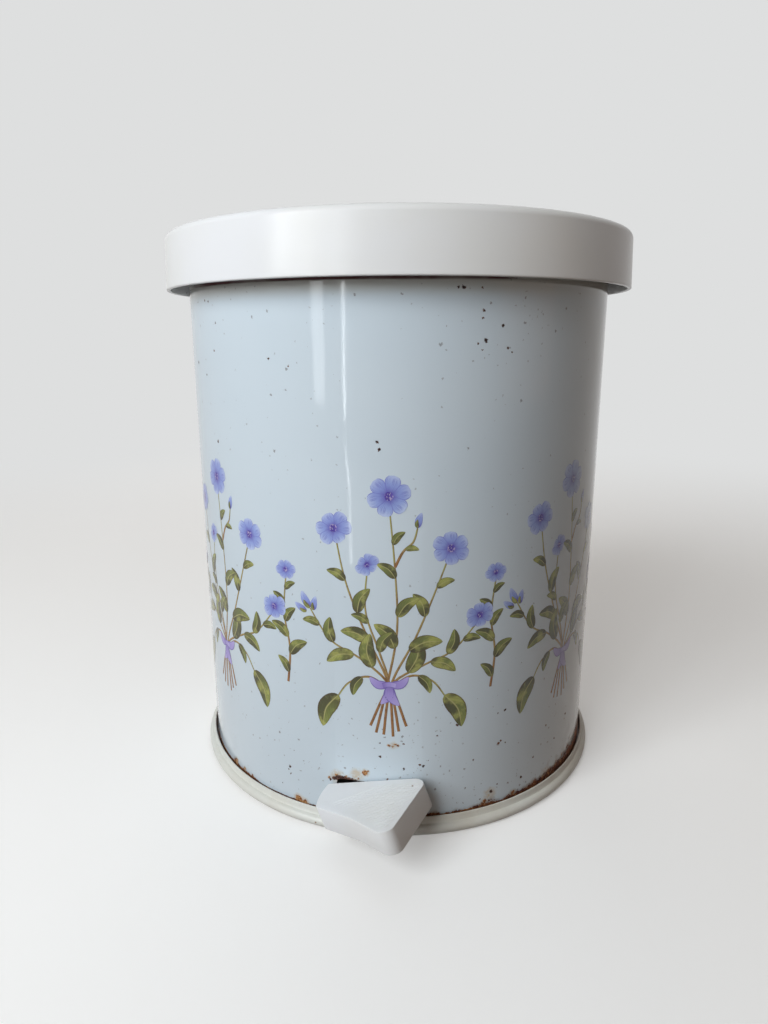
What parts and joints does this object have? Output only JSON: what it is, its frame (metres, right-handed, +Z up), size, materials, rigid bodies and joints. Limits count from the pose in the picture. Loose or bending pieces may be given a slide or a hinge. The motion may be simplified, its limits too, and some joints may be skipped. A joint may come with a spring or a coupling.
{
  "type": "pedal bin",
  "caption": "Round pedal bin: painted steel body on a plastic base, hinged plastic lid lifted by a foot pedal, push rod and crank, and a removable inner bucket.",
  "frame": {"origin": "centre of the base's flat underside, on the axis of the round body", "axes": "+Z up along the body's axis, -Y towards the pedal, +Y towards the lid's hinge, +X to the right seen from the pedal"},
  "size_m": [0.275, 0.304, 0.3225],
  "materials": {
    "body_paint": "gloss pale blue enamel with rust specks",
    "lid_plastic": "gloss white",
    "base_plastic": "satin off-white, slightly yellowed",
    "pad_plastic": "satin white, ribbed",
    "hinge_steel": "zinc plated",
    "lever_steel": "zinc plated, rusty",
    "bright_steel": "drawn wire",
    "clip_steel": "dark spring steel",
    "screw_zinc": "zinc plated",
    "rivet_aluminium": "satin",
    "bush_nylon": "natural nylon",
    "buffer_rubber": "matt",
    "bucket_plastic": "satin grey",
    "grip_plastic": "satin white"
  },
  "bodies": {
    "bin": {"base": "base_plastic", "body_shell": "body_paint", "base_screws": "screw_zinc", "hinge_bracket": "hinge_steel", "bracket_rivets": "rivet_aluminium", "hinge_pin": "bright_steel", "pin_clips": "clip_steel", "rod_guide_lower": "hinge_steel", "rod_guide_upper": "hinge_steel", "guide_rivets": "rivet_aluminium", "pedal_axle": "bright_steel", "axle_bracket_left": "hinge_steel", "axle_bracket_right": "hinge_steel", "axle_screws": "screw_zinc", "axle_clips": "clip_steel", "pedal_buffer": "buffer_rubber"},
    "lid": {"lid": "lid_plastic", "lid_hinge_plate": "hinge_steel", "lid_plate_screws": "screw_zinc"},
    "pedal": {"pedal_lever": "lever_steel", "lever_bush": "bush_nylon", "pedal_pad": "pad_plastic", "pad_screw": "screw_zinc"},
    "rod": {"push_rod": "bright_steel", "rod_clips": "clip_steel"},
    "bucket": {"inner_bucket": "bucket_plastic"},
    "bail": {"bucket_handle": "bright_steel", "handle_grip": "grip_plastic"}
  },
  "joints": [
    {"name": "lid_hinge", "type": "hinge", "parent": "bin", "child": "lid", "pos_m": [0, 0.131, 0.297], "axis": [-1, 0, 0], "range_deg": [0, 75]},
    {"name": "pedal_pivot", "type": "hinge", "parent": "bin", "child": "pedal", "pos_m": [0, -0.015, 0.018], "axis": [1, 0, 0], "range_deg": [0, 6.25]},
    {"name": "rod_lift", "type": "slide", "parent": "bin", "child": "rod", "axis": [0, 0, 1], "range_m": [0, 0.01468]},
    {"name": "bucket_lift", "type": "slide", "parent": "bin", "child": "bucket", "axis": [0, 0, 1], "range_m": [0, 0.015]},
    {"name": "bail_swing", "type": "hinge", "parent": "bucket", "child": "bail", "pos_m": [0, 0, 0.26], "axis": [-1, 0, 0], "range_deg": [0, 32]}
  ],
  "couplings": [
    {"joint": "pedal_pivot", "follows": "lid_hinge", "ratio": 0.083251},
    {"joint": "rod_lift", "follows": "lid_hinge", "m_per_rad": 0.0112}
  ]
}
